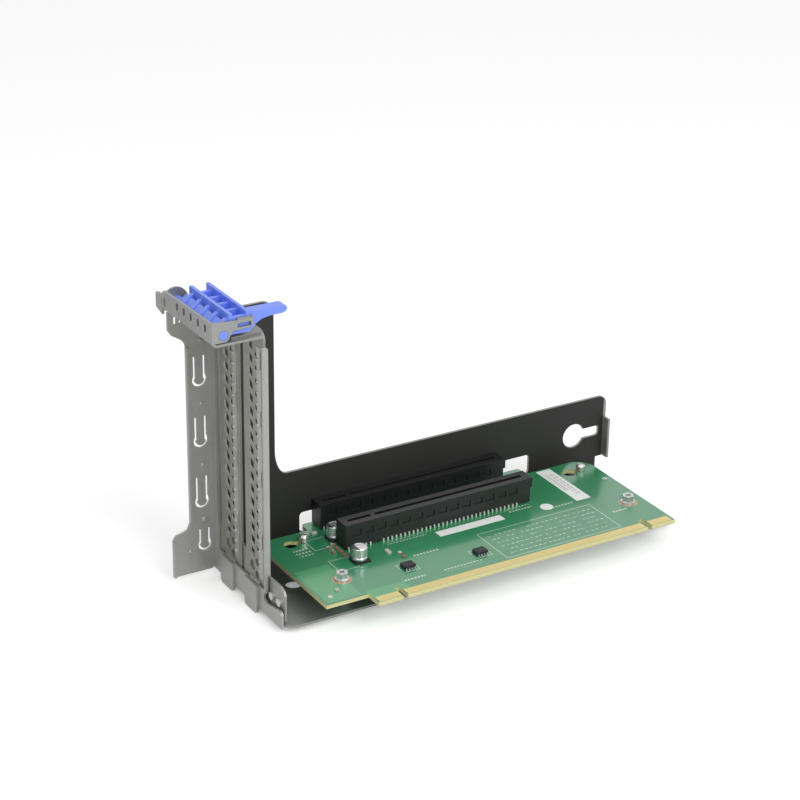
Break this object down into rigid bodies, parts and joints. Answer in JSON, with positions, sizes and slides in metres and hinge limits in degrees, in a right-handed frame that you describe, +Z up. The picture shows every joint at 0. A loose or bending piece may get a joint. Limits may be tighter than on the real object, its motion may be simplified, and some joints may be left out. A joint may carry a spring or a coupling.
{
  "type": "riser cage bracket",
  "caption": "Folded sheet metal cage for a server, holding a riser board with two card slots behind vented slot covers that a hinged plastic latch keeps in place.",
  "frame": {"origin": "centre of the tray's locating hole, on the tray's underside", "axes": "+X along the card slots, from the rear panel to the free end; +Y from the board's edge fingers to the side wall; +Z up from the tray"},
  "size_m": [0.2095, 0.0774, 0.1291],
  "materials": {
    "steel": "satin zinc plated sheet",
    "film": "matt black film",
    "cover_steel": "satin",
    "plated": "bright plated",
    "board_green": "gloss solder mask",
    "gold": "gold plated",
    "black_plastic": "satin",
    "can": "bright",
    "chip_black": "matt",
    "passive": "satin",
    "label": "paper",
    "latch_blue": "moulded plastic"
  },
  "bodies": {
    "cage": {"cage_bracket": "steel", "insulating_film": "film", "rear_panel": "steel", "panel_rivets": "plated", "latch_rail": "steel", "slot_cover_near": "cover_steel", "slot_cover_far": "cover_steel", "cover_spring_near": "plated", "cover_spring_far": "plated", "riser_board": "board_green", "edge_contacts": "gold", "connector_near": "black_plastic", "connector_far": "black_plastic", "contacts_near": "gold", "contacts_far": "gold", "capacitor_near": "can", "capacitor_far": "can", "capacitor_bases": "black_plastic", "chip_bodies": "chip_black", "chip_leads": "plated", "passives": "passive", "standoffs": "plated", "board_screws": "plated", "board_studs": "plated", "label_left": "label", "label_right": "label", "marker_disc": "label"},
    "latch": {"latch": "latch_blue"}
  },
  "joints": [
    {"name": "latch_hinge", "type": "hinge", "parent": "cage", "child": "latch", "pos_m": [-0.0356, 0.006, 0.1196], "axis": [0, -1, 0], "range_deg": [0, 55]}
  ]
}
